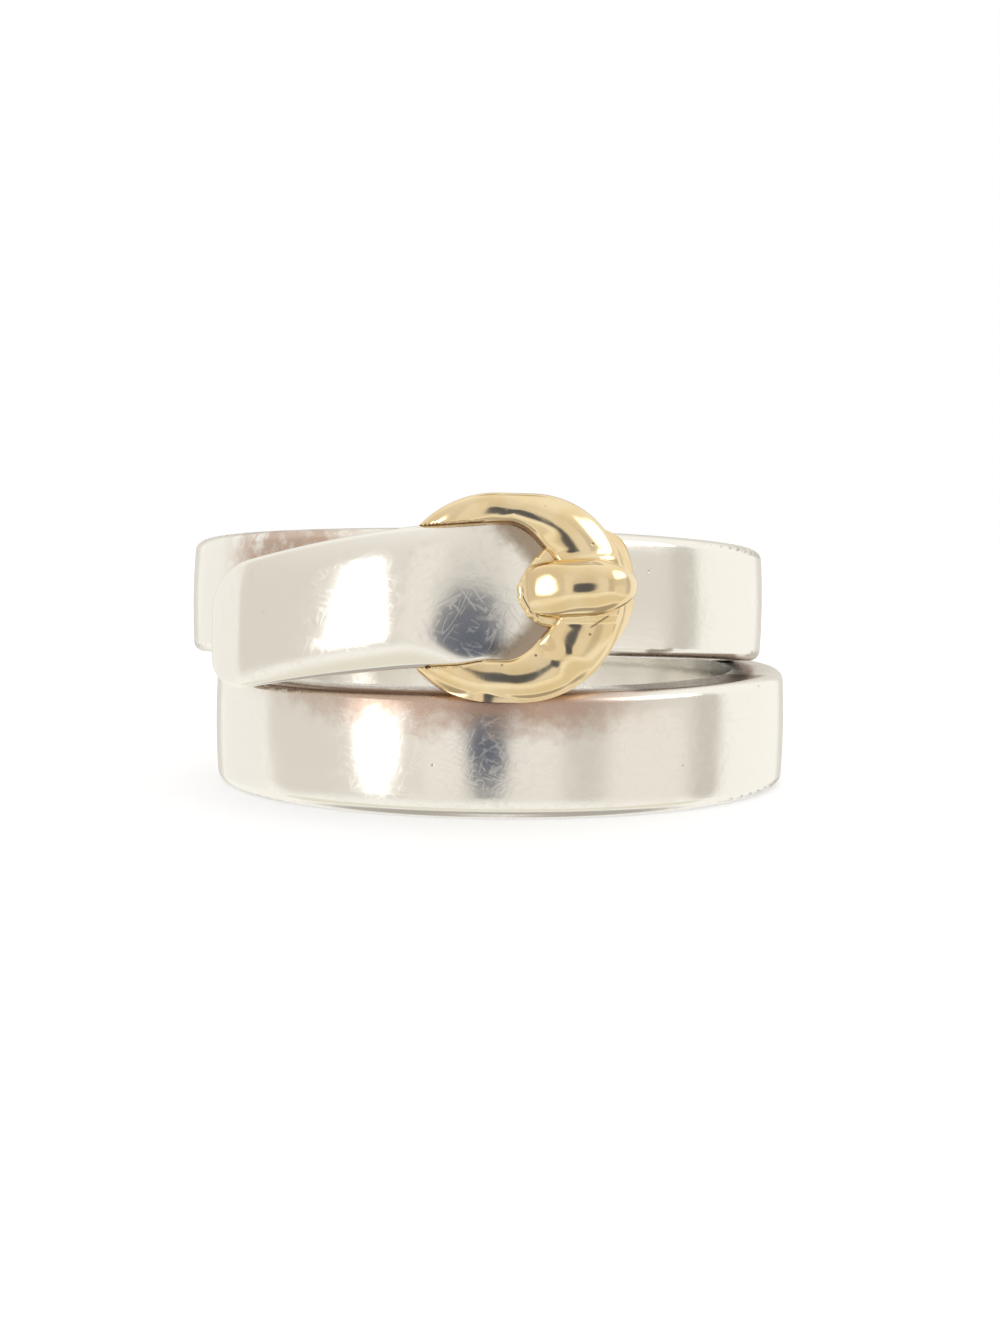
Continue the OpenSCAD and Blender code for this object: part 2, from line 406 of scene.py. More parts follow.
silverFinish = {
    "colour": (0.93, 0.905, 0.855, 1),
    "stainAndShade": (0.55, 0.375, 0.29, 1),         # tarnish where a cloth can't reach, and painted shade in crevices
    "shade": (0.35, 0.275, 0.20, 1),         # painted shade and gold reflection by the gold, some soil
    "inside": (0.98, 0.965, 0.93, 1),        # painted light: inside the finger hole the colour is brighter
    # dark grime, also painted shade in the deepest crevices and at the slot's ends
    "grimeAndShade": (0.17, 0.115, 0.08, 1),
    "roughness": 0.10,
    "cloudRough": 0.09, "cloudSize": 1.7,
    "patchSize": 0.55,
    # turn, length, distance apart, thickness, size of its patches, how much is bare, depth
    "lines": [
        (12, 9, 0.42, 0.050, 1.0, 0.50, 0.7),
        (-31, 7, 0.36, 0.055, 0.7, 0.53, 0.9),
        (57, 6, 0.40, 0.050, 0.6, 0.54, 0.9),
        (-74, 8, 0.46, 0.045, 0.8, 0.53, 0.7),
        (2, 14, 0.30, 0.040, 2.2, 0.50, 0.5),
        (24, 1.5, 0.17, 0.055, 0.5, 0.50, 0.9),
        (-63, 1.3, 0.19, 0.055, 0.4, 0.51, 0.9),
    ],
    "lineHeight": 0.36,      # micrometres, as all the heights
    "lineRough": 0.07,
    "waveHeight": 9.0,
    "grainHeight": 0.5, "grainSize": 0.13,
    "pits": (1.3, 0.055, 0.45),                   # cell size, reach, share of the cells
    "pitHeight": 6.0, "pitRough": 0.3, "pitDark": 0.6,
    "reach": 1.4,            # how far the crevice stains and painted shade look for cover
    "offTable": (0.1, 0.9),  # none of them down at the table
    "outside": (8.9, 9.3),   # nor inside the finger hole, out from the axis
    "ragged": 0.3,
    "stainAndShadeFrom": (0.26, 0.92), "stainAndShadeMost": 0.75, "stainAndShadeRough": 0.14,
    "grimeAndShadeFrom": (0.72, 1.0), "grimeAndShadeMost": 0.5,
    "soilAndShadeFrom": (0.05, 0.80), "soilAndShadeMost": 0.93, "soilAndShadeRagged": 0.8,
}


def bandCrown(graph, up, flat):
    # how far a place lies into its band's falling margin, and how far up the upper band
    along = alongAxis(graph, flat, upperBand, 2)
    low = up.math("MINIMUM", up, bands["lowerWidth"] - up)
    high = up.math("MINIMUM", along, bands["upperWidth"] - along)
    near = crown["margin"] - up.math("MAXIMUM", low, high)
    near = near.math("MAXIMUM", near, 0.0)
    return near, along


# stains and painted shade on the bands, in millimetres: round to the right from the front, up from the
# table, out from the finger axis, and along from the upper band's lower edge. A third number is how soft
# both ends are.
bandDirtAndShade = {
    "faceOut": (9.5, 9.7),
    "byPatch": 1.3, "byCloud": 0.8,               # how ragged the brown bloom's edge is
    "buckleLeft": (-10.0, -3.0), "buckleRight": (6.8, 2.4), "buckleUp": 0.75,
    "underFrom": (3.0, 4.2), "underTo": (4.0, 3.9), "underMost": 0.85,
    "aboveLeft": (-10.6, -8.0), "aboveRight": (-3.0, -5.6), "aboveAlong": (1.9, 2.6),
    "abovePatch": (0.30, 0.62), "aboveMost": 0.75,
    # painted shade: both ends of the slot are darkened where the bands meet in shadow
    "slotRight": (4.3, 12.4, 0.9), "slotLeft": (-15.0, -8.6, 1.4),
    "slotUp": (3.76, 4.1, 0.1), "slotOut": (10.1, 9.9), "slotMost": 0.88,
    "dashRagged": 0.22, "dashStretched": 4.0,
    "dash": (5.1, 6.6, 0.5), "dashMiddle": 5.8, "dashSlope": 0.05,
    "dashAlong": (0.12, 0.32, 0.08), "dashMost": 0.85,
}


def bandStainsAndShade(graph, cfg, arc, up, out, along, patch, cloud):
    # brown blooms under the buckle, tarnish with painted shadow above the strap end,
    # painted shade at the slot's ends
    onFace = step(graph, out, *cfg["faceOut"])
    mottle = (patch - 0.5) * cfg["byPatch"] + (cloud - 0.5) * cfg["byCloud"]
    nearBuckle = step(graph, arc, *cfg["buckleLeft"]) * step(graph, arc, *cfg["buckleRight"])
    under = step(graph, up + nearBuckle * cfg["buckleUp"] + mottle, *cfg["underFrom"])
    under = under * step(graph, up, *cfg["underTo"]) * nearBuckle
    # tarnish and painted shadow along the strap end's top edge
    above = step(graph, arc, *cfg["aboveLeft"]) * step(graph, arc, *cfg["aboveRight"])
    above = above * step(graph, along, *cfg["aboveAlong"])
    above = above * step(graph, patch, *cfg["abovePatch"])
    # painted shade at both ends of the slot
    ends = between(graph, arc, *cfg["slotRight"]) + between(graph, arc, *cfg["slotLeft"])
    slotEndShade = between(graph, up, *cfg["slotUp"]) * step(graph, out, *cfg["slotOut"]) * ends
    ragged = (patch - 0.5) * cfg["dashRagged"]
    dash = between(graph, arc + ragged * cfg["dashStretched"], *cfg["dash"]) * onFace
    sloped = along + ragged - (arc - cfg["dashMiddle"]) * cfg["dashSlope"]
    dash = dash * between(graph, sloped, *cfg["dashAlong"])
    tarnishAndShade = under * cfg["underMost"] * onFace + above * cfg["aboveMost"] * onFace
    return tarnishAndShade, slotEndShade * cfg["slotMost"] + dash * cfg["dashMost"]


def silverMetal(name, cfg, onBand):
    material, graph = newMaterial(name)
    arc, up, out, place, flat = ringPlace(graph)
    cloud = noise(graph, flat, cfg["cloudSize"], 3.0)
    patch = noise(graph, flat, cfg["patchSize"], 3.0, 0.6)
    lines = allLines(graph, place, cfg["lines"])
    lines = lines.math("MINIMUM", lines, 1.0)
    holes = pits(graph, flat, *cfg["pits"])
    # tarnish, grime and painted shade in the crevices, from their occlusion, and stains where a cloth
    # can't reach
    shade = crevices(graph, cfg["reach"]) * step(graph, up, *cfg["offTable"])
    shade = shade * step(graph, out, *cfg["outside"]) + (patch - 0.5) * cfg["ragged"]
    stainedAndShaded = step(graph, shade, *cfg["stainAndShadeFrom"]) * cfg["stainAndShadeMost"]
    deepGrimeAndShade = step(graph, shade, *cfg["grimeAndShadeFrom"]) * cfg["grimeAndShadeMost"]
    height = cloud * cfg["waveHeight"] - lines * cfg["lineHeight"] - holes * cfg["pitHeight"]
    grain = noise(graph, flat, cfg["grainSize"], 1.0) * cfg["grainHeight"]
    rough = cloud * cfg["cloudRough"] + cfg["roughness"] + lines * cfg["lineRough"]
    rough = rough + holes * cfg["pitRough"]
    colour = cfg["colour"]
    if onBand:
        near, along = bandCrown(graph, up, flat)
        margin = crown["margin"]
        grain = grain * step(graph, near, margin * crown["grainOut"], margin * crown["grainIn"])
        tarnishAndShade, grimeAndShade = bandStainsAndShade(graph, bandDirtAndShade, arc, up, out, along, patch, cloud)
        height = height - near * near * (crown["rate"] / 2 * 1000)    # millimetres to micrometres
        rough = rough + step(graph, near, margin * crown["wearFrom"], margin) * crown["wear"]
        # painted light: a brighter colour inside the finger hole
        colour = mixColours(graph, step(graph, out, *cfg["outside"]), cfg["inside"], colour)
        stainedAndShaded = stainedAndShaded + tarnishAndShade
        # grime and painted shade: deepest crevices, slot ends and the dash
        deepGrimeAndShade = deepGrimeAndShade.math("MAXIMUM", deepGrimeAndShade, grimeAndShade)
    else:
        # painted shade and painted gold reflection on the strap end next to the loop, with some soil
        soilAndShade = graph.add("ShaderNodeAttribute", {"attribute_name": "soilAndShade"}, None, "Fac")
        soilAndShade = step(graph, soilAndShade + (patch - 0.5) * cfg["soilAndShadeRagged"], *cfg["soilAndShadeFrom"]) * cfg["soilAndShadeMost"]
        colour = mixColours(graph, soilAndShade, colour, cfg["shade"])
    stainedAndShaded = stainedAndShaded.math("MINIMUM", stainedAndShaded, 1.0)
    # brown tarnish mixed with painted shade
    colour = mixColours(graph, stainedAndShaded, colour, cfg["stainAndShade"])
    colour = mixColours(graph, deepGrimeAndShade, colour, cfg["grimeAndShade"])
    colour = mixColours(graph, holes * cfg["pitDark"], colour, cfg["grimeAndShade"])
    bump = graph.add("ShaderNodeBump", None, {
        "Strength": 1.0, "Distance": mm / 1000, "Height": height + grain})
    metal = graph.add("ShaderNodeBsdfPrincipled", None, {
        "Base Color": colour, "Metallic": 1.0, "Roughness": rough + stainedAndShaded * cfg["stainAndShadeRough"],
        "Normal": bump})
    graph.add("ShaderNodeOutputMaterial", None, {"Surface": metal})
    return material


goldFinish = {
    "colour": (0.86, 0.675, 0.395, 1),
    "pale": (0.90, 0.745, 0.49, 1),
    # dark grime in the pits, and painted shade in the crevices
    "grimeAndShade": (0.25, 0.14, 0.065, 1),
    "mark": (0.12, 0.07, 0.04, 1),
    "dirtPits": [(-2.31, -2.08, 0.07), (-1.99, -1.99, 0.05), (-1.80, -1.95, 0.065), (0.86, -1.67, 0.05)],
    "solderLine": [(3.0, -0.44), (2.37, -0.86)],
    "solderWidth": 0.045, "solderInner": 0.01, "solderEnds": 0.12, "solderMost": 0.8,
    "markMost": 0.85,
    "roughness": 0.07,
    "cloudRough": 0.06, "cloudSize": 0.9,
    "paleFrom": (0.35, 0.65),
    "patchSize": 0.3,
    "lines": [               # as the silver's
        (35, 2.5, 0.8, 0.035, 0.9, 0.52, 0.7),
        (-50, 1.8, 0.7, 0.035, 0.8, 0.54, 0.7),
    ],
    "lineHeight": 0.35, "lineRough": 0.1,
    "waveHeight": 3.0,
    "grainHeight": 0.15, "grainSize": 0.1,
    "pits": (0.62, 0.06, 0.3),
    "pitHeight": 9.0, "pitRough": 0.3, "pitDark": 0.8,
    "reach": 0.55,
    "dirtAndShadeFrom": (0.40, 0.90), "dirtAndShadeMost": 0.8, "dirtAndShadeRagged": 0.5, "dirtAndShadeRough": 0.2,
}


def buckleMarks(graph, flat, cfg):
    # dirt pits near the loop's lower end, and a solder line under the tongue's right end
    x, z = [alongAxis(graph, flat, buckleFrame, k) for k in (0, 2)]
    marks = None
    for px, pz, size in cfg["dirtPits"]:
        dx, dz = x - px, z - pz
        pit = step(graph, x.math("SQRT", dx * dx + dz * dz, 0.0), size, size * 0.5)
        marks = pit if marks is None else marks + pit
    (x0, z0), (x1, z1) = cfg["solderLine"]
    length = math.hypot(x1 - x0, z1 - z0)
    c, s = (x1 - x0) / length, (z1 - z0) / length
    along = (x - x0) * c + (z - z0) * s
    across = x.math("ABSOLUTE", (z - z0) * c - (x - x0) * s, 0.0)
    line = between(graph, along, 0.0, length, cfg["solderEnds"])
    line = line * step(graph, across, cfg["solderWidth"], cfg["solderInner"])
    marks = marks + line * cfg["solderMost"]
    return marks.math("MINIMUM", marks, 1.0)


def goldMetal(cfg):
    material, graph = newMaterial("paleGold")
    place, flat = ringPlace(graph)[3:]
    marks = buckleMarks(graph, flat, cfg)
    cloud = noise(graph, flat, cfg["cloudSize"], 3.0)
    patch = noise(graph, flat, cfg["patchSize"], 3.0, 0.6)
    lines = allLines(graph, place, cfg["lines"])
    holes = pits(graph, flat, *cfg["pits"])
    # dirt and painted shade in the crevices, from their occlusion
    shade = crevices(graph, cfg["reach"])
    dirtAndShade = step(graph, shade + (patch - 0.5) * cfg["dirtAndShadeRagged"], *cfg["dirtAndShadeFrom"])
    colour = mixColours(graph, step(graph, cloud, *cfg["paleFrom"]), cfg["colour"], cfg["pale"])
    colour = mixColours(graph, dirtAndShade * cfg["dirtAndShadeMost"], colour, cfg["grimeAndShade"])
    colour = mixColours(graph, marks * cfg["markMost"], colour, cfg["mark"])
    colour = mixColours(graph, holes * cfg["pitDark"], colour, cfg["grimeAndShade"])
    rough = cloud * cfg["cloudRough"] + cfg["roughness"] + lines * cfg["lineRough"]
    rough = rough + dirtAndShade * cfg["dirtAndShadeRough"] + holes * cfg["pitRough"]
    height = (cloud * cfg["waveHeight"] + noise(graph, flat, cfg["grainSize"], 1.0) * cfg["grainHeight"]
              - lines * cfg["lineHeight"] - holes * cfg["pitHeight"])
    bump = graph.add("ShaderNodeBump", None, {"Strength": 1.0, "Distance": mm / 1000, "Height": height})
    metal = graph.add("ShaderNodeBsdfPrincipled", None, {
        "Base Color": colour, "Metallic": 1.0, "Roughness": rough, "Normal": bump})
    graph.add("ShaderNodeOutputMaterial", None, {"Surface": metal})
    return material


bandSilver = silverMetal("bandSilver", silverFinish, True)
strapSilver = silverMetal("strapSilver", silverFinish, False)
gold = goldMetal(goldFinish)
print("metals made")


def closedPlate(name, columns, rows, front, back, material):
    # a closed solid between two grids of points, joined round their edge
    count = columns * rows
    points = [front(i, j) for i in range(columns) for j in range(rows)]
    points += [back(i, j) for i in range(columns) for j in range(rows)]
    faces = gridFaces(columns, rows)
    faces += [tuple(count + k for k in reversed(face)) for face in faces]
    rim = [(i, 0) for i in range(columns)] + [(columns - 1, j) for j in range(1, rows)]
    rim += [(i, rows - 1) for i in range(columns - 2, -1, -1)] + [(0, j) for j in range(rows - 2, 0, -1)]
    ring = [i * rows + j for i, j in rim]
    for k, here in enumerate(ring):
        after = ring[(k + 1) % len(ring)]
        faces.append((after, here, count + here, count + after))
    return meshObject(name, points, faces, material)


def tidyNormals(made, sharp=50):
    work = bmesh.new()
    work.from_mesh(made.data)
    bmesh.ops.remove_doubles(work, verts=work.verts, dist=1e-7)
    bmesh.ops.recalc_face_normals(work, faces=work.faces)
    work.to_mesh(made.data)
    work.free()
    made.data.set_sharp_from_angle(angle=math.radians(sharp))


def edgeSteps(total, near, count):
    # places from 0 to total, close together at both ends
    rest = total - 2 * near[-1]
    inner = [near[-1] + rest * k / count for k in range(1, count)]
    return list(near) + inner + [total - d for d in reversed(near)]


# strap end: a pillowed plate that bends over the loop's hidden bar and narrows to a soft tip
strap = {
    "tip": -9.0,
    "halfAtLoop": 2.13,
    "narrows": 0.010,        # how fast it narrows towards the tip
    "narrowsMore": 0.0016,   # and ever faster
    "middle": 0.10,          # its middle line inside the loop
    "dropFrom": -1.2,        # left of this the middle line falls away
    "dropRate": 0.054, "dropPower": 1.5,
    "joins": (-1.6, -0.4),   # over this reach its edge becomes the hole's edge
    "corner": 1.2,
    "depth": 11.2,           # the face inside the loop, from the finger axis
    "faceTo": 2.4, "faceSpare": 0.1,            # the face is worked out to here, and past the tip
    "bends": [(-9.0, -70), (-8.3, -58.5), (-7.8, -47), (-5.8, -33.5), (-3.7, -25), (-2.15, -10.7),
              (-1.1, -6.9), (0.0, -3.2), (1.0, -0.5), (2.2, 2)],
    "domeRadius": 22,
    "topMargin": 0.9, "topRate": 0.28,          # the face rolls off towards its edges
    "bottomMargin": 1.25, "bottomRate": 0.32,
    "loopBottomMargin": 0.35, "marginOver": (-3.2, -0.8),    # less of it near the loop
    "loopTopRate": 0.06, "rateOver": (-2.6, -0.4),
    "loopLean": 1.3, "leanOver": (-3.4, -1.4),               # it leans forward a little there
    "edge": 0.13,            # radius of its edges, smaller inside the loop by this share
    "edgeLess": 0.6, "edgeOver": (-1.2, 0.2),
    "soilAndShadeReach": 1.15, "soilAndShadeOver": (-1.3, 0.5),              # painted shade and gold reflection next to the loop, some soil
    "inner": 60, "across": 56,                  # steps of its mesh
}
loop = {
    "height": 6.16, "width": 6.95, "corner": 2.75,
    "holeRadius": 2.04, "holeUp": 0.21, "sideBar": 1.5,
    "thicker": 0.33,         # its right side is this much wider inwards
    "crest": 11.4, "lean": 5.0,                 # it leans forward a little
    "turnHere": -7.9, "bend": 3.37,             # its face's turn at the middle, and per millimetre
    "crestInset": 0.90,      # from its outer edge, at its right side
    "topInset": 0.43, "topInsetOver": (-1.7, 0.6),           # less of it towards its left ends
    "lowInset": 0.17, "lowInsetTurns": (30, 90),
    "roundness": 1.25, "outerRoundness": 1.05, "topTurns": (-20, 20),
    "lowRoundness": 1.65, "lowTurns": (-20, 40),
    "topEdge": 0.13, "edge": 0.28,              # radius of its outer edge, at the top and below
    "innerEdge": 0.14,
    "flatter": 1.0, "flatterWithin": 0.9, "flatterOver": 0.6,    # its crest is flatter near the tongue
    "tuck": 0.06, "tuckFrom": -0.5,             # its upper left end tucks in towards the strap end
    "foot": 0.02, "flare": 0.62,                # the foot of its right side spreads on the band
    "flareTurns": (-42, 6), "flareEnds": 50, "flareFades": 26,
    "rise": 0.10, "riseTurns": (-60, -42),      # below the tongue it swells towards it
    "riseBelow": 0.4, "riseOver": 0.6,
    "fillet": 0.08, "filletReach": 0.25,
    "under": 10.58,          # its hidden left bar stays this low under the strap end
    "coveredLeftOf": -0.7, "coveredOver": 0.08,
    "blend": 0.0006,         # how softly its inner side meets the strap end, in square millimetres
    "lowBandFrom": (2.5, 2.75),     # this far below its middle it comes in front of the lower band
    "shelfFall": 1.0,        # left of the hole the bar sinks under the strap end by this much
    "shelfOver": (-2.2, -0.4), "shelfUp": 0.01,
    "perCorner": 56, "across": 44, "footSteps": 6, "straight": 0.08,    # steps of its mesh
}
holeRight = loop["width"] / 2 - loop["sideBar"] - loop["holeRadius"]


def holeInset(degrees):
    # how far the loop's inner edge comes in at this angle, 0 being its right side
    side = abs((degrees + 180) % 360 - 180)
    return loop["thicker"] * smooth(90 - side, 0, 45)


def holePoint(degrees, clear=0.0):
    a = math.radians(degrees)
    r = loop["holeRadius"] - holeInset(degrees) - clear
    return holeRight + r * math.cos(a), loop["holeUp"] + r * math.sin(a)


def bendAt(x, stops):
    # the bend at this place, between stops of place and degrees
    for (x0, a0), (x1, a1) in zip(stops, stops[1:]):
        if x <= x1:
            return math.radians(mix(a0, a1, (x - x0) / (x1 - x0)))
    return math.radians(stops[-1][1])


def faceDepths(stride):
    # the face's depth follows from its bends, summed from inside the loop to both sides
    found = {}
    for direction in (-1, 1):
        x, depth = 0.0, strap["depth"]
        while strap["tip"] - strap["faceSpare"] <= x <= strap["faceTo"]:
            found[round(x / stride)] = depth
            bend = bendAt(x + direction * stride / 2, strap["bends"])
            depth += direction * stride * -math.tan(bend)
            x += direction * stride
    return found


bendStride = 0.02            # millimetres between the places where bends are summed
depths = faceDepths(bendStride)


def faceDepth(x):
    k = x / bendStride
    low = math.floor(k)
    first, last = min(depths), max(depths)
    here = depths[min(max(low, first), last)]
    after = depths[min(max(low + 1, first), last)]
    return mix(here, after, k - low)


def strapMiddle(x):
    away = max(strap["dropFrom"] - x, 0)
    return strap["middle"] - strap["dropRate"] * away ** strap["dropPower"]


def strapHalf(x):
    away = max(strap["dropFrom"] - x, 0)
    return strap["halfAtLoop"] - strap["narrows"] * away - strap["narrowsMore"] * away * away


holeSides = {side: [holePoint(side * (90 - k), buckle["seam"]) for k in range(91)] for side in (-1, 1)}


def holeEdge(x, side):
    # the hole's edge above or below this place, read off its own outline
    points = holeSides[side]
    if x <= points[0][0]:
        return points[0][1]
    for (x0, z0), (x1, z1) in zip(points, points[1:]):
        if x0 <= x <= x1:
            return z0 + (z1 - z0) * (x - x0) / (x1 - x0)
    return points[-1][1]


def strapEdge(x, side):
    # the strap's own edge left of the loop, the hole's edge inside it
    own = strapMiddle(x) + side * strapHalf(x)
    return mix(own, holeEdge(x, side), smooth(x, *strap["joins"]))


def edgeFall(distance, radius):
    # how far a rounded edge has fallen at this distance from the outline
    if distance >= radius:
        return 0
    return radius - math.sqrt(max(radius ** 2 - (radius - distance) ** 2, 0))


def strapOutline(x, side):
    return strapEdge(x, side) - side * edgeFall(x - strap["tip"], strap["corner"])


def rollOff(distance, width, rate):
    return 0.5 * rate * max(width - distance, 0) ** 2


def strapFace(x, z):
    # how far the face lies from the finger axis
    toTip = x - strap["tip"]
    toTop, toBottom = strapEdge(x, 1) - z, z - strapEdge(x, -1)
    toSide = min(toTop, toBottom)
    corner = strap["corner"]
    if toTip < corner and toSide < corner:
        toEdge = corner - math.hypot(corner - toTip, corner - toSide)
    else:
        toEdge = min(toTip, toSide)
    if x > holeRight:
        dx, dz = x - holeRight, z - loop["holeUp"]
        angle = math.degrees(math.atan2(dz, dx))
        toEdge = min(toEdge, loop["holeRadius"] - holeInset(angle) - buckle["seam"] - math.hypot(dx, dz))
    depth = faceDepth(x) - (z - strapMiddle(x)) ** 2 / (2 * strap["domeRadius"])
    depth += math.tan(math.radians(strap["loopLean"])) * smooth(x, *strap["leanOver"]) * z
    margin = mix(strap["bottomMargin"], strap["loopBottomMargin"], smooth(x, *strap["marginOver"]))
    topRate = mix(strap["topRate"], strap["loopTopRate"], smooth(x, *strap["rateOver"]))
    depth -= rollOff(toTop, strap["topMargin"], topRate)
    depth -= rollOff(toBottom, margin, strap["bottomRate"])
    edge = strap["edge"] * (1 - strap["edgeLess"] * smooth(x, *strap["edgeOver"]))
    return depth - edgeFall(max(toEdge, 0), edge)


def bandDepth(x):
    return math.sqrt((bands["radius"] + buckle["clear"]) ** 2 - x * x)


def lowerBandDepth(x, z):
    # the lower band's face along the same line, which starts from the upper band's axis
    start = buckleFrame @ Vector((x, 0, z))
    ahead = buckleFrame.to_3x3() @ Vector((0, -1, 0))
    sx, sy = start.x - bands["step"] / 2, start.y
    a = ahead.x ** 2 + ahead.y ** 2
    b = sx * ahead.x + sy * ahead.y
    c = sx * sx + sy * sy - (bands["radius"] + buckle["clear"]) ** 2
    return (math.sqrt(b * b - a * c) - b) / a


def makeStrapEnd(material):
    near = [0, 0.01, 0.03, 0.06, 0.1, 0.14, 0.2, 0.3, 0.45, 0.65, 0.9]
    right = holeSides[1][-1][0]
    xs = [strap["tip"] + d for d in edgeSteps(right - strap["tip"], near, strap["inner"])]
    across = strap["across"]
    shares = [0.5 - 0.5 * math.cos(math.pi * k / across) for k in range(across + 1)]

    def flat(i, j):
        x = xs[i]
        low, high = strapOutline(x, -1), strapOutline(x, 1)
        return x, mix(low, high, shares[j])

    def front(i, j):
        x, z = flat(i, j)
        return onBuckle(x, strapFace(x, z), z)

    def back(i, j):
        x, z = flat(i, j)
        return onBuckle(x, bandDepth(x), z)

    def soiledAndShaded(i, j):
        # how near a place is to the loop's inner edge, for the painted shade and soil there
        x, z = flat(i, j)
        dx, dz = x - holeRight, z - loop["holeUp"]
        toLoop = min(strapEdge(x, 1) - z, z - strapEdge(x, -1))
        if x > holeRight:
            inset = holeInset(math.degrees(math.atan2(dz, dx)))
            toLoop = min(toLoop, loop["holeRadius"] - inset - math.hypot(dx, dz))
        return smooth(strap["soilAndShadeReach"] - toLoop, 0, strap["soilAndShadeReach"]) * smooth(x, *strap["soilAndShadeOver"])

    made = closedPlate("strapEnd", len(xs), len(shares), front, back, material)
    # the painted shade and soil next to the loop, as a point attribute
    soilAndShade = made.data.attributes.new("soilAndShade", "FLOAT", "POINT")
    amounts = [soiledAndShaded(i, j) for i in range(len(xs)) for j in range(len(shares))]
    soilAndShade.data.foreach_set("value", amounts + [0.0] * (len(soilAndShade.data) - len(amounts)))
    tidyNormals(made)
    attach(made, "root")
    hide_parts("strap_end")


def cornerPoint(corner, degrees, inset=0.0):
    x, z, radius = corner
    a = math.radians(degrees)
    return x + (radius - inset) * math.cos(a), z + (radius - inset) * math.sin(a)


# tongue: a soft blunt bar that lies on the strap end and over the loop's right side
tongue = {
    "x": 2.095, "up": 0.32, "slope": 4, "halfLength": 1.755, "halfHeight": 0.86,
    "blunt": 4.2, "round": 2.2,        # its left end is blunt, its right end round
    "crown": 12.14, "turn": -8.5, "lean": 5.0,   # its face turns and leans with the loop's
    "bends": [(-1.8, -64), (-1.55, -46), (-1.32, -28), (-0.6, -17.5), (-0.3, -4.5), (0.12, 0),
              (0.58, 4.8), (0.82, 16.5), (1.24, 36), (1.5, 47), (1.8, 60)],
    "acrossRadius": 1.5, "acrossLeft": 1.95, "acrossRight": 1.0, "acrossOver": (0.3, 0.9),
    "edge": 0.30,
    "side": 0.45,            # a straight side that sinks into what carries it
    "narrower": 0.10,        # towards its right end
    "softCorner": 0.35,      # of the outline that the loop's crest keeps to
    "around": 120, "rings": 36,                  # steps of its mesh
}


def onTongue(x, z):
    # a place along and across the tongue, from its middle
    a = math.radians(tongue["slope"])
    dx, dz = x - tongue["x"], z - tongue["up"]
    return dx * math.cos(a) + dz * math.sin(a), dz * math.cos(a) - dx * math.sin(a)


def tongueDistance(x, z):
    # how far a place outside the tongue's outline lies from it
    u, v = onTongue(x, z)
    soft = tongue["softCorner"]
    du = max(abs(u) - tongue["halfLength"] + soft, 0)
    dv = max(abs(v) - tongue["halfHeight"] + soft, 0)
    return max(math.hypot(du, dv) - soft, 0)


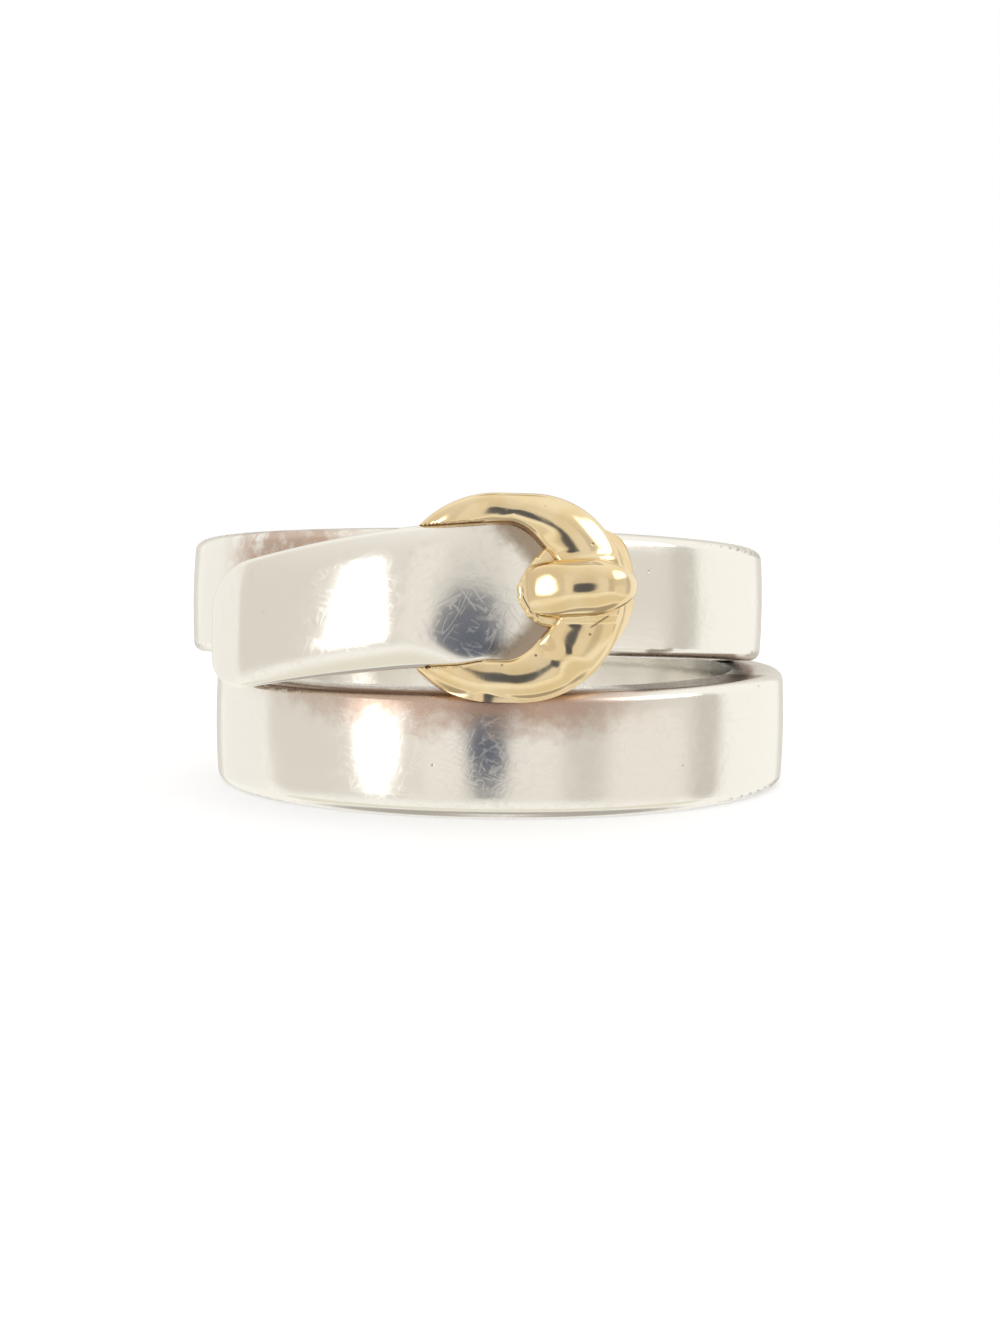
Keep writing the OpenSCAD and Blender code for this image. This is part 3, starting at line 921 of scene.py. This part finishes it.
def makeBuckleLoop(material):
    big = loop["height"] / 2
    shift = loop["width"] / 2 - big
    small = loop["corner"]
    # corners of its outline and of its hole: x, z and radius, from the upper right one to the left
    outer = [(loop["width"] / 2 - small, big - small, small),
             (-shift, 0, big), (-shift, 0, big), (shift, 0, big)]
    hole = [(x, loop["holeUp"], loop["holeRadius"]) for x in (holeRight, -shift, -shift, holeRight)]
    perCorner, across, footSteps = loop["perCorner"], loop["across"], loop["footSteps"]
    shares = [-math.cos(math.pi * k / across) for k in range(across + 1)]

    def crestDepth(x, z, fromOuter, width, degrees, outerX):
        # the bar's crest runs nearer to its outer edge towards its left ends
        turn = (degrees + 180) % 360 - 180
        top = smooth(turn, *loop["topTurns"])
        crest = loop["crestInset"]
        if turn > 0:
            crest -= loop["topInset"] * smooth(-outerX, *loop["topInsetOver"])
        else:
            crest -= loop["lowInset"] * smooth(-turn, *loop["lowInsetTurns"])
        depth = loop["crest"] - math.radians(loop["turnHere"]) * x - math.radians(loop["bend"]) * x * x / 2
        tuck = loop["tuck"] * max(loop["tuckFrom"] - x, 0) ** 2 if z > 0 else 0
        depth += math.tan(math.radians(loop["lean"])) * z - tuck
        away = tongueDistance(x, z)
        roundness = mix(loop["roundness"], loop["lowRoundness"], smooth(-turn, *loop["lowTurns"]))
        if fromOuter > crest:
            roundness += loop["flatter"] * smooth(loop["flatterWithin"] - away, 0, loop["flatterOver"])
        else:
            roundness = mix(roundness, loop["outerRoundness"], top)
        depth -= (fromOuter - crest) ** 2 / (2 * roundness)
        depth -= edgeFall(fromOuter, mix(loop["edge"], loop["topEdge"], top))
        depth -= edgeFall(width - fromOuter, loop["innerEdge"])
        rise = loop["rise"] * smooth(turn, *loop["riseTurns"])
        rise *= smooth(loop["riseBelow"] - z, 0, loop["riseOver"])
        fillet = (max(loop["filletReach"] - away, 0) / loop["filletReach"]) ** 2
        return depth + rise + loop["fillet"] * fillet

    def shelf(x, z):
        # the strap end's face at the hole's edge, which the bar's inner side meets
        fall = 1 - smooth(x, *loop["shelfOver"])
        return strapFace(x, z) + loop["shelfUp"] - loop["shelfFall"] * fall

    def lowDepth(x, z):
        # on the upper band, and clear of the lower band where it reaches down to it
        onBand = bandDepth(x)
        outwards = max(lowerBandDepth(x, z) - onBand, 0)
        return onBand + outwards * smooth(-z, *loop["lowBandFrom"])

    def edges(c, degrees):
        # the ends of a line across the bar
        inset = holeInset(degrees) if c in (0, 3) else 0
        return *cornerPoint(outer[c], degrees), *cornerPoint(hole[c], degrees, inset), degrees

    stations = []
    for c in range(4):
        stations += [edges(c, 90 * c + 90 * k / perCorner) for k in range(perCorner + 1)]
        here, after = stations[-1], edges((c + 1) % 4, 90 * (c + 1))
        steps = math.floor(math.hypot(after[0] - here[0], after[1] - here[1]) / loop["straight"])
        stations += [[a + (b - a) * k / steps for a, b in zip(here, after)] for k in range(1, steps)]

    points, columns = [], len(stations)
    for ox, oz, hx, hz, degrees in stations:
        width = math.hypot(hx - ox, hz - oz)
        ring = []
        for share in shares:
            t = (share + 1) / 2
            x, z = mix(ox, hx, t), mix(oz, hz, t)
            depth = crestDepth(x, z, width * t, width, degrees, ox)
            gap = depth - shelf(hx, hz)
            depth += (math.sqrt(gap * gap + loop["blend"]) - gap) / 2
            inside = min(strapEdge(x, 1) - z, z - strapEdge(x, -1)) if x < loop["coveredLeftOf"] else -1
            low = math.sqrt(max(loop["under"] ** 2 - x * x, 0))
            covered = smooth(inside, 0, loop["coveredOver"])
            ring.append((x, mix(depth, min(low, depth), covered), z))
        ring.append((hx, lowDepth(hx, hz), hz))
        turn = (degrees + 180) % 360 - 180
        spread = loop["flare"] * smooth(turn, *loop["flareTurns"])
        foot = loop["foot"] + spread * smooth(loop["flareEnds"] - turn, 0, loop["flareFades"])
        edgeDepth = ring[0][1]
        for k in range(footSteps, 0, -1):
            a = math.pi / 2 * k / footSteps
            out = foot * (1 - math.cos(a))
            x = ox + out * math.cos(math.radians(degrees))
            z = oz + out * math.sin(math.radians(degrees))
            ring.append((x, mix(edgeDepth, lowDepth(x, z), math.sin(a)), z))
        points += [onBuckle(*place) for place in ring]
    rows = len(points) // columns
    faces = gridFaces(columns, rows, True)
    for i in range(columns):
        here, after = i * rows, (i + 1) % columns * rows
        faces.append((here, after, after + rows - 1, here + rows - 1))
    made = meshObject("buckleLoop", points, faces, material)
    tidyNormals(made)
    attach(made, "root")
    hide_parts("buckle_loop")


def tongueOutline(degrees):
    # the outline's reach along and across, blunt at the left and round at the right
    c, s = math.cos(math.radians(degrees)), math.sin(math.radians(degrees))
    power = mix(tongue["blunt"], tongue["round"], smooth(c, -0.6, 0.6))
    scale = (abs(c) ** power + abs(s) ** power) ** (-1 / power)
    narrow = 1 - tongue["narrower"] * smooth(scale * c, 0.1, 1.0)
    return scale * c * tongue["halfLength"], scale * s * tongue["halfHeight"] * narrow


def tongueFall(u):
    # how far its face has fallen at this place along it, from its own bends
    fall, steps = 0.0, max(1, round(abs(u) / bendStride))
    for k in range(steps):
        fall += u / steps * math.tan(bendAt(u * (k + 0.5) / steps, tongue["bends"]))
    return fall


def makeTongue(material):
    around, rings = tongue["around"], tongue["rings"]
    slope = math.radians(tongue["slope"])
    rightward = -math.tan(math.radians(tongue["turn"]))
    forward = math.tan(math.radians(tongue["lean"]))
    points, faces = [], []

    def place(u, v, depth):
        x = tongue["x"] + u * math.cos(slope) - v * math.sin(slope)
        z = tongue["up"] + u * math.sin(slope) + v * math.cos(slope)
        return onBuckle(x, depth, z)

    for ring in range(rings + 2):
        reach = math.sin(math.pi / 2 * min(ring, rings) / rings)
        for k in range(around):
            fullU, fullV = tongueOutline(360 * k / around)
            u, v = fullU * reach, fullV * reach
            depth = tongue["crown"] + rightward * u + forward * v
            across = mix(tongue["acrossRadius"], tongue["acrossLeft"], smooth(-u, *tongue["acrossOver"]))
            across = mix(across, tongue["acrossRight"], smooth(u, *tongue["acrossOver"]))
            depth -= tongueFall(u) + v * v / (2 * across)
            depth -= edgeFall(math.hypot(fullU, fullV) * (1 - reach), tongue["edge"])
            if ring > rings:
                depth -= tongue["side"]
            points.append(place(u, v, depth))
    last = (rings + 1) * around
    for ring in range(rings + 1):
        for k in range(around):
            after = (k + 1) % around
            faces.append((ring * around + k, ring * around + after,
                          (ring + 1) * around + after, (ring + 1) * around + k))
    faces.append(tuple(last + k for k in range(around)))
    addLip(points, faces)
    made = meshObject("buckleTongue", points, faces, material)
    tidyNormals(made)
    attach(made, "root")
    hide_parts("buckle_tongue")


# lip: the cast foot that carries the tongue's left end on the strap, with a slightly ragged edge
lip = {
    "x": 1.3, "up": 0.33,
    "reach": [(62, 1.5), (100, 1.28), (115, 1.09), (145, 0.99), (168, 1.04), (182, 1.11), (214, 1.13),
              (236, 1.18), (262, 1.22), (295, 1.5)],
    "ragged": 0.008, "waves": [(13, 0, 1), (22, 1.2, 0.8), (37, 0, 0.5)],    # number, start, share
    "bead": 0.26, "flat": 0.15,                 # its edge is round over this reach, then flat
    "low": 11.0, "high": 11.33,
    "columns": 181, "rows": 22,                 # steps of its mesh
}


def lipReach(degrees):
    stops = lip["reach"]
    reach = stops[-1][1]
    for (a0, r0), (a1, r1) in zip(stops, stops[1:]):
        if a0 <= degrees <= a1:
            reach = mix(r0, r1, smooth(degrees, a0, a1))
            break
    a = math.radians(degrees)
    waves = [share * math.sin(number * a + start) for number, start, share in lip["waves"]]
    return reach + lip["ragged"] * sum(waves)


def addLip(points, faces):
    first, columns, rows = len(points), lip["columns"], lip["rows"]
    start, end = lip["reach"][0][0], lip["reach"][-1][0]
    for i in range(columns):
        degrees = start + (end - start) * i / (columns - 1)
        reach, a = lipReach(degrees), math.radians(degrees)
        for j in range(rows):
            inward = reach
            if j < rows - 1:
                inward = (lip["bead"] + lip["flat"]) * (1 - math.cos(math.pi / 2 * j / (rows - 2)))
            r = reach - inward
            rise = min(inward / lip["bead"], 1)
            depth = mix(lip["low"], lip["high"], math.sqrt(1 - (1 - rise) ** 2))
            points.append(onBuckle(lip["x"] + r * math.cos(a), depth, lip["up"] + r * math.sin(a)))
    faces += [tuple(first + k for k in face) for face in gridFaces(columns, rows)]
    # closed below, inside the strap end, and at both ends, under the tongue
    bottom = len(points)
    points.append(onBuckle(lip["x"], lip["low"], lip["up"]))
    faces += [(first + (i + 1) * rows, first + i * rows, bottom) for i in range(columns - 1)]
    for i in (0, columns - 1):
        faces.append((*range(first + i * rows, first + (i + 1) * rows), bottom))


makeStrapEnd(strapSilver)
makeBuckleLoop(gold)
makeTongue(gold)
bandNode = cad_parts["double_band"]
bandNode.data.materials.clear()
bandNode.data.materials.append(bandSilver)
print("pieces built")
